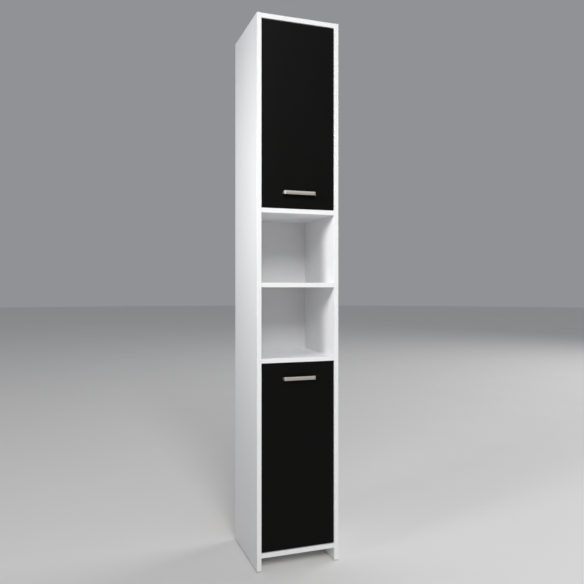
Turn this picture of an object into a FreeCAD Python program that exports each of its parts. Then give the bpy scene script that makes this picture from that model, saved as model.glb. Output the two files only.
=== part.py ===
import FreeCAD, Part
import math
import os

# Tall bathroom cabinet: two inset doors, two open niches between them.
# X runs along the front, +Y towards the wall, +Z up. The origin is on the floor,
# at the middle of the whole box, handles included.

V = FreeCAD.Vector

# ---------------------------------------------------------------- driving dimensions (mm)

# carcass
cabinet_height = 1900.0
cabinet_width = 300.0
cabinet_depth = 300.0
board = 16.0                    # sides, fixed panels and loose shelves
back_board = 3.0
rebate_depth = 4.0              # the back lies this deep behind the sides' rear edges
rebate_width = 8.0              # how far the back laps onto each side
glide_height = 3.0
floor_gap = 46.0                # floor to the underside of the bottom panel
lower_niche_height = 243.0
upper_niche_height = 239.0

edge_ease = 0.4                 # chamfer on the front edges of the white boards
back_side_gap = 0.5
back_end_gap = 2.0

# doors
door_board = 16.0
door_gap = 2.2                  # all round
door_setback = 2.5              # behind the front edges of the carcass
door_edge_ease = 0.6

# loose shelves
shelf_setback = 20.0            # behind the doors' rear faces, clear of an open door's edge
shelf_side_gap = 1.0
shelf_back_gap = 1.0
peg_radius = 2.5
peg_depth = 9.0
peg_edge = 40.0                 # peg to the front or rear edge of its shelf
support_width = 9.0
support_reach = 9.0
support_height = 7.0

# cam fittings and dowels
cam_radius = 7.5
cam_depth = 12.5
cam_reach = 26.0                # side panel to the cam's centre
cam_edge = 40.0                 # cam to the front or rear edge of its panel
bolt_radius = 3.0
bolt_head_radius = 3.6
bolt_head_length = 3.0
bolt_depth = 11.0
bolt_bore_radius = 4.0
bolt_tip_gap = 3.0              # bolt's end to the cam's centre
cam_play = 0.15
dowel_radius = 4.0
dowel_in_side = 11.0
dowel_in_panel = 18.0
dowel_shift = 48.0              # dowels lie this far behind the front cams

# back panel nails
nail_radius = 0.9
nail_head_radius = 2.4
nail_head = 0.8
nail_length = 17.0              # under the head
nail_inset = 45.0

# glides
glide_radius = 7.0
glide_pin_radius = 1.5
glide_pin_length = 12.0
glide_inset = 25.0

# handles
handle_length = 115.0
handle_height = 12.0
handle_bar = 5.0
handle_reach = 22.0             # door face to the outside of the bar
handle_leg = 7.0                # width of a leg, seen from the front
handle_foot = 6.0               # height of a leg where it stands on the door
handle_crown = 0.9              # how far the front of the bar is rounded back at its long edges
handle_bend = 5.0               # outside of the bends from the bar to the legs
handle_bend_inside = 2.4
handle_to_edge = 52.0           # bar's centre line to the near edge of the door
handle_screw_radius = 2.0
screw_head_radius = 4.0
screw_head_height = 2.4
handle_screw_bite = 9.0
screw_play = 0.3

# door stops
stop_inset = 60.0               # stop to the end of its compartment
stop_reach = 9.0
stop_width = 12.0
stop_height = 10.0
stop_gap = 0.3

# anti-tip bracket
bracket_width = 38.0
bracket_leg = 34.0
bracket_plate = 2.0
bracket_bend = 3.0
wall_screw_hole = 3.25
wall_screw_drop = 20.0
bracket_screw_radius = 1.8
bracket_screw_spacing = 20.0
bracket_screw_length = 12.0
bracket_screw_edge = 12.0       # screw line to the end of the upper leg
bracket_screw_head = 3.6
bracket_screw_head_height = 1.8

# concealed hinges, in each hinge's own plan coordinates: first value from the cup's
# centre towards the side panel, second from the door's rear face into the cabinet
hinge_inset = 100.0             # hinge to the end of its compartment
hinge_opening = 95.0            # the door's full opening, in degrees
cup_edge = 21.8                 # cup's centre to the door's edge
cup_radius = 17.5
cup_depth = 11.5
cup_wall = 1.0
cup_flange = 1.2
cup_screw_spacing = 48.0
cup_screw_offset = 6.0
ear_half = 6.0
cheek_near = 7.1
cheek_margin = 3.2
cheek_below_rim = 0.8
cup_pin_end = 9.5
arm_pin_outer = (-11.6, 10.5)
arm_pin_inner = (-12.1, -7.5)
cup_pin_outer = (5.7, -3.3)
cup_pin_inner = (-0.7, -2.6)
outer_link_ratio = -0.248       # turn of the link for each degree of the door
inner_link_ratio = -0.578
pin_radius = 1.25
inner_cup_pin_radius = 1.0      # slimmer, to pass beside the outer link
eye_radius = 2.5
eye_wall = 0.9
outer_link_half = 1.5
inner_link_half = 2.0
outer_link_knee = (-2.25, 1.45)  # bends the outer link round the cup's rim
inner_link_near = 4.2
inner_link_far = 5.4
outer_link_near = 5.6
outer_link_far = 6.8
layer_gap = 0.2
nose_half_width = 4.0
nose_half = 2.7
crank_start = 17.0
crank_end = 28.0
channel_near_side = 11.5
channel_wall_side = 21.0
channel_end = 72.0
channel_far = 8.0
sheet = 1.2
plate_line = 37.0               # screw line behind the door's rear face
plate_front = 30.0
plate_thickness = 2.4
plate_screw_spacing = 32.0
wing_half = 5.5
rib_half_width = 6.2
adjusting_screw_lines = (41.0, 60.0)

# screws of the hinges
cup_screw_radius = 1.7
cup_screw_bite = 9.0
cup_screw_head = 3.4
plate_screw_radius = 2.0
plate_screw_bite = 11.0
plate_screw_head = 3.8
adjusting_screw_radius = 2.5
adjusting_screw_length = 8.0
adjusting_screw_head = 3.9
small_head_height = 1.4

# small clearances
slip = 0.05                     # a pin or screw in its own hole
run = 0.06                      # a turning pin in its eye

# working values without a size of their own
path_steps = 38                 # positions at which a hinge's path is worked out
same = 1e-6                     # edges this near to a plane lie on it
shank_sides = 6                 # flats of bolts, screws, nails and pegs, and of their holes
pin_sides = 8                   # flats of hinge pins, screw heads and the ends of pressed pieces
drum_sides = 10                 # flats of cams and glides

# ---------------------------------------------------------------- derived places

# The handles stand in front of the carcass, so the box is deeper than the carcass.
front_reach = handle_reach - door_setback
back_y = (cabinet_depth + front_reach) / 2.0
front_y = back_y - cabinet_depth

outer_x = cabinet_width / 2.0
inner_x = outer_x - board

compartment_height = (
    cabinet_height - floor_gap - 5.0 * board - lower_niche_height - upper_niche_height
) / 2.0
bottom_z = floor_gap
lower_fixed_z = bottom_z + board + compartment_height
niche_z = lower_fixed_z + board + lower_niche_height
upper_fixed_z = niche_z + board + upper_niche_height
top_z = cabinet_height - board

door_front_y = front_y + door_setback
door_rear_y = door_front_y + door_board
door_edge_x = inner_x - door_gap

back_front_y = back_y - rebate_depth
hinge_x = door_edge_x - cup_edge
wall_screw_z = top_z - wall_screw_drop

# every fixed panel: underside, and the face that hides its cams (1 above, -1 below)
fixed_panels = {
    "top_panel": (top_z, -1),
    "upper_fixed_shelf": (upper_fixed_z, 1),
    "niche_shelf": (niche_z, -1),
    "lower_fixed_shelf": (lower_fixed_z, -1),
    "bottom_panel": (bottom_z, -1),
}

# each closed compartment: its floor, and the side of the door that its handle is near
compartments = {
    "upper": (upper_fixed_z + board, -1),
    "lower": (bottom_z + board, 1),
}

cam_ys = (front_y + cam_edge, back_front_y - cam_edge)
dowel_y = front_y + cam_edge + dowel_shift
stop_y = door_rear_y + stop_gap + stop_width / 2.0


# ---------------------------------------------------------------- small helpers

def block(x0, x1, y0, y1, z0, z1):
    """A box between two corners."""
    return Part.makeBox(x1 - x0, y1 - y0, z1 - z0, V(x0, y0, z0))


def rod(start, direction, radius, length):
    """A round rod from a start point."""
    return Part.makeCylinder(radius, length, V(*start), V(*direction))


def ring(centre, direction, radius, sides):
    """A regular outline of an even number of sides across the X, Y or Z axis.

    Its corners lie alike whichever way the axis points, so a pin fits its hole.
    """
    axis = V(*direction)
    first = V(axis.z, axis.x, axis.y)
    second = axis.cross(first)
    corners = []
    for i in range(sides):
        angle = 2.0 * math.pi * i / sides
        corners.append(V(*centre) + (first * math.cos(angle) + second * math.sin(angle)) * radius)
    return Part.makePolygon(corners + corners[:1])


def flat_sided(start, direction, radius, length, sides=shank_sides):
    """A flat-sided rod, for the small round things that repeat and for their holes."""
    return Part.Face(ring(start, direction, radius, sides)).extrude(V(*direction) * length)


def prism(points, z0, z1):
    """A flat outline in plan, raised from z0 to z1."""
    wire = Part.makePolygon([V(x, y, z0) for x, y in points + points[:1]])
    return Part.Face(wire).extrude(V(0, 0, z1 - z0))


def fused(shapes):
    """One solid from shapes that touch."""
    result = shapes[0].fuse(shapes[1:])
    return result.removeSplitter()


def headed_screw(place, outward, radius, length, head_radius, head_height):
    """A screw with a low head: the head outside its seat, the shank the other way."""
    inward = tuple(-c for c in outward)
    head = flat_sided(place, outward, head_radius, head_height, pin_sides)
    return fused([head, flat_sided(place, inward, radius, length)])


def save(name, solids):
    """Write one node: a single solid or a group of like solids."""
    shape = solids[0] if len(solids) == 1 else Part.makeCompound(solids)
    shape.exportStep("parts/" + name + ".step")


# ---------------------------------------------------------------- carcass

def bolt_places(side):
    """Axis points of the cam bolts on one side panel's inner face."""
    x = side * inner_x
    return [
        (x, y, z + board / 2.0)
        for z, _ in fixed_panels.values()
        for y in cam_ys
    ]


def dowel_places(side):
    """Axis points of the dowels on one side panel's inner face."""
    return [
        (side * inner_x, dowel_y, z + board / 2.0)
        for z, _ in fixed_panels.values()
    ]


def shelf_level(name):
    """Underside of the loose shelf: its middle is halfway up the compartment."""
    floor_z, _ = compartments[name]
    return floor_z + (compartment_height - board) / 2.0


def peg_places(name, side):
    """Axis points of one shelf's pegs on one side panel's inner face."""
    front = door_rear_y + shelf_setback
    rear = back_front_y - shelf_back_gap
    z = shelf_level(name) - support_height / 2.0
    return [(side * inner_x, y, z) for y in (front + peg_edge, rear - peg_edge)]


def stop_places(name):
    """Centres of the door stops on the left side panel, near the door's free corners."""
    floor_z, _ = compartments[name]
    return [floor_z + stop_inset, floor_z + compartment_height - stop_inset]


def nail_places():
    """Points on the back board's rear face: two nails into every fixed panel."""
    return [
        (side * (inner_x - nail_inset), z + board / 2.0)
        for z, _ in fixed_panels.values()
        for side in (-1, 1)
    ]


def glide_places():
    """Centres of the glides under the side panels."""
    x = inner_x + board / 2.0
    return [
        (side * x, y)
        for side in (-1, 1)
        for y in (front_y + glide_inset, back_y - glide_inset)
    ]


def eased(board_solid, y, amount):
    """Chamfer the long edges that lie on one front plane."""
    edges = [
        e for e in board_solid.Edges
        if all(abs(v.Y - y) < same for v in e.Vertexes) and e.Length > 2.0 * board
    ]
    return board_solid.makeChamfer(amount, edges)


def side_panel(side):
    """A side board with its rear rebate and every bore on its inner face."""
    x0, x1 = sorted((side * inner_x, side * outer_x))
    panel = eased(block(x0, x1, front_y, back_y, glide_height, cabinet_height),
                  front_y, edge_ease)
    lap0, lap1 = sorted((side * inner_x, side * (inner_x + rebate_width)))
    cuts = [block(lap0, lap1, back_front_y, back_y, glide_height, cabinet_height)]
    outward = (side, 0, 0)
    for place in bolt_places(side):
        cuts.append(flat_sided(place, outward, bolt_radius + slip, bolt_depth + slip))
    for place in dowel_places(side):
        cuts.append(flat_sided(place, outward, dowel_radius + slip, dowel_in_side + slip))
    for name in compartments:
        for place in peg_places(name, side):
            cuts.append(flat_sided(place, outward, peg_radius + slip, peg_depth + slip))
    if side < 0:
        for name in compartments:
            for z in stop_places(name):
                place = (-inner_x, stop_y, z)
                cuts.append(flat_sided(place, outward, peg_radius + slip, peg_depth + slip))
    else:
        for z in all_hinge_levels():
            for place in plate_screw_places(z):
                cuts.append(flat_sided(place, outward, plate_screw_radius + slip,
                                       plate_screw_bite + slip))
    for x, y in glide_places():
        if x * side > 0:
            cuts.append(flat_sided((x, y, glide_height), (0, 0, 1),
                                   glide_pin_radius + slip, glide_pin_length + slip))
    return panel.cut(cuts)


def fixed_panel(name):
    """A board between the sides, bored for its cams, bolts, dowels and back nails."""
    z, face = fixed_panels[name]
    panel = eased(block(-inner_x, inner_x, front_y, back_front_y, z, z + board),
                  front_y, edge_ease)
    cuts = []
    for side in (-1, 1):
        inward = (-side, 0, 0)
        for place in bolt_places(side):
            if abs(place[2] - z - board / 2.0) < slip:
                cuts.append(flat_sided(place, inward, bolt_bore_radius, cam_reach))
                cam_x = side * (inner_x - cam_reach)
                mouth = z + board if face > 0 else z
                cuts.append(flat_sided((cam_x, place[1], mouth), (0, 0, -face),
                                       cam_radius + slip, cam_depth, drum_sides))
        for place in dowel_places(side):
            if abs(place[2] - z - board / 2.0) < slip:
                cuts.append(flat_sided(place, inward, dowel_radius + slip, dowel_in_panel + slip))
    bite = nail_length - back_board
    for x, nail_z in nail_places():
        if abs(nail_z - z - board / 2.0) < slip:
            cuts.append(flat_sided((x, back_front_y, nail_z), (0, -1, 0), nail_radius + slip, bite))
    if name == "top_panel":
        for place in bracket_screw_places():
            cuts.append(flat_sided(place, (0, 0, 1), bracket_screw_radius + slip,
                                   bracket_screw_length))
    return panel.cut(cuts)


def back_panel():
    """The thin back board in the rebates, with its nail holes and wall-screw hole."""
    half = inner_x + rebate_width - back_side_gap
    panel = block(-half, half, back_front_y, back_front_y + back_board,
                  bottom_z + back_end_gap, cabinet_height - back_end_gap)
    rear = back_front_y + back_board
    cuts = [rod((0, back_front_y, wall_screw_z), (0, 1, 0), wall_screw_hole, back_board)]
    for x, z in nail_places():
        cuts.append(flat_sided((x, rear, z), (0, -1, 0), nail_radius + slip, back_board))
    return panel.cut(cuts)


def loose_shelf(name):
    """The shelf inside one closed compartment."""
    z = shelf_level(name)
    half = inner_x - shelf_side_gap
    front = door_rear_y + shelf_setback
    shelf = block(-half, half, front, back_front_y - shelf_back_gap, z, z + board)
    return eased(shelf, front, edge_ease)


def shelf_supports(name):
    """Four plastic supports: a peg in the side and a flat-topped block under the shelf."""
    solids = []
    top = shelf_level(name)
    for side in (-1, 1):
        for x, y, z in peg_places(name, side):
            x0, x1 = sorted((x, x - side * support_reach))
            seat = block(x0, x1, y - support_width / 2.0, y + support_width / 2.0,
                         top - support_height, top)
            solids.append(fused([seat, flat_sided((x, y, z), (side, 0, 0), peg_radius, peg_depth)]))
    return solids


# ---------------------------------------------------------------- carcass fittings

def cam_locks():
    """Drum cams in the hidden faces of the fixed panels, each open for its bolt."""
    solids = []
    for z, face in fixed_panels.values():
        mouth = z + board if face > 0 else z
        for side in (-1, 1):
            for y in cam_ys:
                x = side * (inner_x - cam_reach)
                drum = flat_sided((x, y, mouth), (0, 0, -face), cam_radius, cam_depth - slip,
                                  drum_sides)
                throat = flat_sided((x, y, z + board / 2.0), (side, 0, 0),
                                    bolt_head_radius + cam_play, cam_radius)
                solids.append(drum.cut(throat))
    return solids


def cam_bolts():
    """Bolts screwed into the sides, with their heads held inside the cams."""
    solids = []
    reach = cam_reach - bolt_tip_gap
    for side in (-1, 1):
        for x, y, z in bolt_places(side):
            end = x + side * bolt_depth
            shank = flat_sided((end, y, z), (-side, 0, 0), bolt_radius,
                               bolt_depth + reach - bolt_head_length)
            head = flat_sided((x - side * reach, y, z), (side, 0, 0), bolt_head_radius,
                              bolt_head_length)
            solids.append(fused([shank, head]))
    return solids


def wood_dowels():
    """One dowel at each end of every fixed panel."""
    length = dowel_in_side + dowel_in_panel
    return [
        flat_sided((x + side * dowel_in_side, y, z), (-side, 0, 0), dowel_radius, length)
        for side in (-1, 1)
        for x, y, z in dowel_places(side)
    ]


def back_panel_nails():
    """Nails through the back into the fixed panels, with their flat heads on its rear."""
    rear = back_front_y + back_board
    solids = []
    for x, z in nail_places():
        head = flat_sided((x, rear, z), (0, 1, 0), nail_head_radius, nail_head)
        shank = flat_sided((x, rear, z), (0, -1, 0), nail_radius, nail_length)
        solids.append(fused([head, shank]))
    return solids


def floor_glides():
    """Nail-in plastic glides under the side panels."""
    solids = []
    for x, y in glide_places():
        foot = flat_sided((x, y, 0), (0, 0, 1), glide_radius, glide_height, drum_sides)
        pin = flat_sided((x, y, glide_height), (0, 0, 1), glide_pin_radius, glide_pin_length)
        solids.append(fused([foot, pin]))
    return solids


def door_stops():
    """Small stops on the left side panel that the doors' free edges close against."""
    solids = []
    for name in compartments:
        for z in stop_places(name):
            front = door_rear_y + stop_gap
            seat = block(-inner_x, -inner_x + stop_reach, front, front + stop_width,
                         z - stop_height / 2.0, z + stop_height / 2.0)
            peg = flat_sided((-inner_x, stop_y, z), (-1, 0, 0), peg_radius, peg_depth)
            solids.append(fused([seat, peg]))
    return solids


# ---------------------------------------------------------------- wall fixing

def bracket_screw_places():
    """Screw axes on the underside of the top panel."""
    y = back_front_y - bracket_leg + bracket_screw_edge
    return [(side * bracket_screw_spacing / 2.0, y, top_z) for side in (-1, 1)]


def anti_tip_bracket():
    """A bent steel angle under the top panel and against the back, for one wall screw."""
    y1 = back_front_y
    z1 = top_z
    outer = [(y1, z1), (y1 - bracket_leg, z1), (y1 - bracket_leg, z1 - bracket_plate),
             (y1 - bracket_plate, z1 - bracket_plate), (y1 - bracket_plate, z1 - bracket_leg),
             (y1, z1 - bracket_leg)]
    half = bracket_width / 2.0
    wire = Part.makePolygon([V(-half, y, z) for y, z in outer + outer[:1]])
    angle = Part.Face(wire).extrude(V(bracket_width, 0, 0))
    bends = {(y1, z1): bracket_bend,
             (y1 - bracket_plate, z1 - bracket_plate): bracket_bend - bracket_plate}
    for (y, z), radius in bends.items():
        edge = [e for e in angle.Edges
                if all(abs(v.Y - y) < same and abs(v.Z - z) < same for v in e.Vertexes)]
        angle = angle.makeFillet(radius, edge)
    cuts = [rod((0, y1 - bracket_plate, wall_screw_z), (0, 1, 0), wall_screw_hole, bracket_plate)]
    for x, y, z in bracket_screw_places():
        cuts.append(flat_sided((x, y, z), (0, 0, -1), bracket_screw_radius + slip, bracket_plate))
    return angle.cut(cuts)


def bracket_screws():
    """Screws that hold the bracket to the top panel."""
    return [
        headed_screw((x, y, z - bracket_plate), (0, 0, -1), bracket_screw_radius,
                     bracket_plate + bracket_screw_length - slip, bracket_screw_head,
                     bracket_screw_head_height)
        for x, y, z in bracket_screw_places()
    ]


# ---------------------------------------------------------------- doors and handles

def handle_level(name):
    """Height of the handle's centre line."""
    floor_z, near = compartments[name]
    if near < 0:
        return floor_z + door_gap + handle_to_edge
    return floor_z + compartment_height - door_gap - handle_to_edge


def handle_screw_places(name):
    """Screw axes where they leave the door's rear face."""
    x = (handle_length - handle_leg) / 2.0
    return [(side * x, door_rear_y, handle_level(name)) for side in (-1, 1)]


def door(name):
    """A door board with its eased edges, hinge cup bores and handle screw holes."""
    floor_z, _ = compartments[name]
    z0 = floor_z + door_gap
    z1 = floor_z + compartment_height - door_gap
    panel = eased(block(-door_edge_x, door_edge_x, door_front_y, door_rear_y, z0, z1),
                  door_front_y, door_edge_ease)
    cuts = []
    for x, y, z in handle_screw_places(name):
        cuts.append(flat_sided((x, door_front_y, z), (0, 1, 0),
                               handle_screw_radius + screw_play, door_board))
    for z in hinge_levels(name):
        cuts.append(rod((hinge_x, door_rear_y, z), (0, -1, 0), cup_radius + slip, cup_depth))
        for x, y, screw_z in cup_screw_places(z):
            cuts.append(flat_sided((x, y, screw_z), (0, -1, 0), cup_screw_radius + slip,
                                   cup_screw_bite))
    return panel.cut(cuts)


def bowed(x_half, y_front, z, radius):
    """A block from a front plane back to the door, with its two front corners rounded in plan."""
    body = block(-x_half, x_half, y_front, door_front_y,
                 z - handle_height / 2.0, z + handle_height / 2.0)
    corners = [
        e for e in body.Edges
        if all(abs(v.Y - y_front) < same for v in e.Vertexes) and abs(e.Length - handle_height) < same
    ]
    return body.makeFillet(radius, corners)


def handle_side(z):
    """The handle seen from its end, as long as the handle: crowned in front, narrower behind."""
    face = door_front_y - handle_reach
    half = handle_height / 2.0
    foot = handle_foot / 2.0
    shoulder_y = face + handle_bar
    x = -handle_length / 2.0
    front_low, front_high = V(x, face + handle_crown, z - half), V(x, face + handle_crown, z + half)
    rest = [front_high, V(x, shoulder_y, z + half), V(x, door_front_y, z + foot),
            V(x, door_front_y, z - foot), V(x, shoulder_y, z - half), front_low]
    edges = [Part.Arc(front_low, V(x, face, z), front_high).toShape()]
    edges += [Part.LineSegment(a, b).toShape() for a, b in zip(rest, rest[1:])]
    return Part.Face(Part.Wire(edges)).extrude(V(handle_length, 0, 0))


def handle(name):
    """A bow handle: a crowned bar, bent back at both ends into legs with smaller feet."""
    z = handle_level(name)
    half = handle_length / 2.0
    face = door_front_y - handle_reach
    outside = bowed(half, face, z, handle_bend)
    inside = bowed(half - handle_leg, face + handle_bar, z, handle_bend_inside)
    grip = outside.cut(inside).common(handle_side(z))
    bores = [
        flat_sided((x, door_front_y, z), (0, -1, 0), handle_screw_radius + slip,
                   handle_screw_bite + slip)
        for x, _, _ in handle_screw_places(name)
    ]
    return grip.cut(bores)


def handle_screws(name):
    """Two screws from inside the door into the handle's legs."""
    return [
        headed_screw(place, (0, 1, 0), handle_screw_radius, door_board + handle_screw_bite,
                     screw_head_radius, screw_head_height)
        for place in handle_screw_places(name)
    ]


# ---------------------------------------------------------------- concealed hinges

def hinge_levels(name):
    """Heights of the two hinges of one door."""
    floor_z, _ = compartments[name]
    return [floor_z + hinge_inset, floor_z + compartment_height - hinge_inset]


def all_hinge_levels():
    """Heights of all four hinges."""
    return [z for name in compartments for z in hinge_levels(name)]


def for_both_hinges(name, make):
    """Pieces of one kind on both hinges of a door."""
    return [solid for z in hinge_levels(name) for solid in make(z)]


def at(local):
    """From hinge plan coordinates to X and Y.

    The first value runs from the cup's centre towards the side panel,
    the second from the door's rear face into the cabinet.
    """
    return (hinge_x + local[0], door_rear_y + local[1])


def turned(point, centre, degrees):
    """A plan point turned about another."""
    angle = math.radians(degrees)
    u = point[0] - centre[0]
    v = point[1] - centre[1]
    return (centre[0] + u * math.cos(angle) - v * math.sin(angle),
            centre[1] + u * math.sin(angle) + v * math.cos(angle))


def cup_point(local, opening):
    """Where a point of the door is when the door has opened by this angle."""
    pin = turned(cup_pin_outer, arm_pin_outer, outer_link_ratio * opening)
    moved = (local[0] + pin[0] - cup_pin_outer[0], local[1] + pin[1] - cup_pin_outer[1])
    return turned(moved, pin, opening)


def inner_pin_wander():
    """The inner cup pin's path, seen from its link: middle and largest distance.

    Both links turn at fixed ratios to the door, so the pin wanders a little
    in the inner link's eye, and the eye is widened by that much.
    """
    path = []
    for i in range(path_steps + 1):
        opening = hinge_opening * i / path_steps
        seen = turned(cup_point(cup_pin_inner, opening), arm_pin_inner, -inner_link_ratio * opening)
        path.append(seen)
    us = [p[0] for p in path]
    vs = [p[1] for p in path]
    middle = ((min(us) + max(us)) / 2.0, (min(vs) + max(vs)) / 2.0)
    reach = max(math.hypot(u - middle[0], v - middle[1]) for u, v in path)
    return middle, reach


def upright_bore(local, radius, z0, z1):
    """The round bore along Z in which a hinge pin turns, at a plan point."""
    x, y = at(local)
    return rod((x, y, z0), (0, 0, 1), radius, z1 - z0)


def upright_pin(local, radius, z0, z1):
    """A flat-sided pin along Z at a plan point, or the hole that holds one fast."""
    x, y = at(local)
    return flat_sided((x, y, z0), (0, 0, 1), radius, z1 - z0, pin_sides)


def flat_bar(start, end, half, z0, z1):
    """A straight bar between two plan points."""
    u = end[0] - start[0]
    v = end[1] - start[1]
    length = math.hypot(u, v)
    nu, nv = -v / length * half, u / length * half
    outline = [at((start[0] + nu, start[1] + nv)), at((start[0] - nu, start[1] - nv)),
               at((end[0] - nu, end[1] - nv)), at((end[0] + nu, end[1] + nv))]
    return prism(outline, z0, z1)


def strap(points, radii, half, z0, z1):
    """A link cheek: eyes or knees joined by narrower flat bars."""
    bars = [flat_bar(a, b, half, z0, z1) for a, b in zip(points, points[1:])]
    eyes = [upright_pin(p, r, z0, z1) for p, r in zip(points, radii)]
    return fused(bars + eyes)


def mirrored_pair(make, z, near, far):
    """The same piece above and below a hinge's middle, from near to far in Z."""
    return [make(z + near, z + far), make(z - far, z - near)]


def cup_screw_places(z):
    """Axes of the two screws that hold one cup's ears."""
    x, y = at((-cup_screw_offset, 0.0))
    return [(x, y, z + s * cup_screw_spacing / 2.0) for s in (-1, 1)]


def plate_screw_places(z):
    """Axes of the two screws that hold one mounting plate to the side."""
    y = at((0.0, plate_line))[1]
    return [(inner_x, y, z + s * plate_screw_spacing / 2.0) for s in (-1, 1)]


def hinge_cup(z):
    """A pressed cup with two screw ears and two inner cheeks that carry its pins."""
    x, y = at((0.0, 0.0))
    body = rod((x, y, z), (0, -1, 0), cup_radius, cup_depth - slip)
    ear_x = at((-cup_screw_offset, 0.0))[0]
    ears = block(ear_x - ear_half, ear_x + ear_half, y, y + cup_flange,
                 z - cup_screw_spacing / 2.0, z + cup_screw_spacing / 2.0)
    tips = [flat_sided((ear_x, y, screw_z), (0, 1, 0), ear_half, cup_flange, pin_sides)
            for _, _, screw_z in cup_screw_places(z)]
    rim = rod((x, y, z), (0, 1, 0), cup_radius, cup_flange)
    rim = rim.cut(block(x, x + cup_radius + slip, y, y + cup_flange, z - cup_radius, z + cup_radius))
    shell = fused([body, ears, rim] + tips)
    pocket = rod((x, y + cup_flange, z), (0, -1, 0), cup_radius - cup_wall,
                 cup_flange + cup_depth - slip - cup_wall)
    shell = shell.cut(pocket)
    low = min(cup_pin_outer[0], cup_pin_inner[0]) - cheek_margin
    high = max(cup_pin_outer[0], cup_pin_inner[0]) + cheek_margin
    cheeks = []
    for z0, z1 in ((z + cheek_near, z + cup_radius), (z - cup_radius, z - cheek_near)):
        cheek = block(x + low, x + high, y - cup_depth + cup_wall, y - cheek_below_rim, z0, z1)
        inside = rod((x, y, z), (0, -1, 0), cup_radius - cup_wall / 2.0, cup_depth - slip)
        cheeks.append(cheek.common(inside))
    cup = fused([shell] + cheeks)
    cuts = []
    for pin, radius in ((cup_pin_outer, pin_radius), (cup_pin_inner, inner_cup_pin_radius)):
        cuts.append(upright_pin(pin, radius + slip, z - cup_pin_end - slip, z + cup_pin_end + slip))
    for sx, sy, sz in cup_screw_places(z):
        cuts.append(flat_sided((sx, sy, sz), (0, 1, 0), cup_screw_radius + slip, cup_flange))
    return cup.cut(cuts)


def cup_pins(z):
    """Short pins in the cup's cheeks: one pair for each link."""
    outer = mirrored_pair(lambda a, b: upright_pin(cup_pin_outer, pin_radius, a, b), z,
                          outer_link_near - layer_gap / 2.0, cup_pin_end)
    inner = mirrored_pair(lambda a, b: upright_pin(cup_pin_inner, inner_cup_pin_radius, a, b), z,
                          inner_link_near - layer_gap / 2.0, cup_pin_end)
    return outer + inner


def outer_links(z):
    """The two cheeks of the outer link, joined by their arm pin."""
    def cheek(z0, z1):
        strip = strap([arm_pin_outer, outer_link_knee, cup_pin_outer],
                      [eye_radius, outer_link_half, eye_radius], outer_link_half, z0, z1)
        holes = [upright_pin(arm_pin_outer, pin_radius, z0, z1),
                 upright_bore(cup_pin_outer, pin_radius + run, z0, z1)]
        return strip.cut(holes)
    return mirrored_pair(cheek, z, outer_link_near, outer_link_far)


def inner_links(z):
    """The two cheeks of the inner link, with a wide eye for the wandering cup pin."""
    middle, wander = inner_pin_wander()
    hole = (inner_cup_pin_radius + wander + run) / math.cos(math.pi / pin_sides)

    def cheek(z0, z1):
        strip = strap([arm_pin_inner, middle], [eye_radius, hole + eye_wall],
                      inner_link_half, z0, z1)
        holes = [upright_pin(arm_pin_inner, pin_radius, z0, z1), upright_pin(middle, hole, z0, z1)]
        return strip.cut(holes)
    return mirrored_pair(cheek, z, inner_link_near, inner_link_far)


def hinge_arm(z):
    """A cranked arm: a cast nose with two pin bores, a channel behind it over the plate."""
    nose_u0 = min(arm_pin_outer[0], arm_pin_inner[0]) - nose_half
    nose_u1 = arm_pin_outer[0] + nose_half
    nose = prism([at(p) for p in (
        (nose_u0, arm_pin_inner[1]),
        (arm_pin_inner[0] + nose_half, arm_pin_inner[1]),
        (nose_u1, arm_pin_outer[1]),
        (nose_u1, crank_start),
        (channel_wall_side, crank_end),
        (channel_near_side, crank_end),
        (nose_u0, crank_start),
    )], z - nose_half_width, z + nose_half_width)
    tip = upright_pin(arm_pin_inner, nose_half, z - nose_half_width, z + nose_half_width)
    channel = prism([at(p) for p in (
        (nose_u0, crank_start), (nose_u1, crank_start), (channel_wall_side, crank_end),
        (channel_wall_side, channel_end), (channel_near_side, channel_end), (channel_near_side, crank_end),
    )], z - channel_far, z + channel_far)
    hollow = prism([at(p) for p in (
        (channel_near_side + sheet, crank_end + sheet), (channel_wall_side + sheet, crank_end + sheet),
        (channel_wall_side + sheet, channel_end + sheet), (channel_near_side + sheet, channel_end + sheet),
    )], z - channel_far + sheet, z + channel_far - sheet)
    arm = fused([nose, tip, channel]).cut(hollow)
    cuts = [upright_bore(p, pin_radius + run, z - nose_half_width, z + nose_half_width)
            for p in (arm_pin_outer, arm_pin_inner)]
    for v in adjusting_screw_lines:
        x, y = at((channel_near_side, v))
        cuts.append(flat_sided((x, y, z), (1, 0, 0), adjusting_screw_radius + slip, sheet))
    return arm.cut(cuts)


def arm_pins(point, far, z):
    """A pin through the arm's nose, riveted into both cheeks of a link."""
    return upright_pin(point, pin_radius, z - far, z + far)


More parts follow.
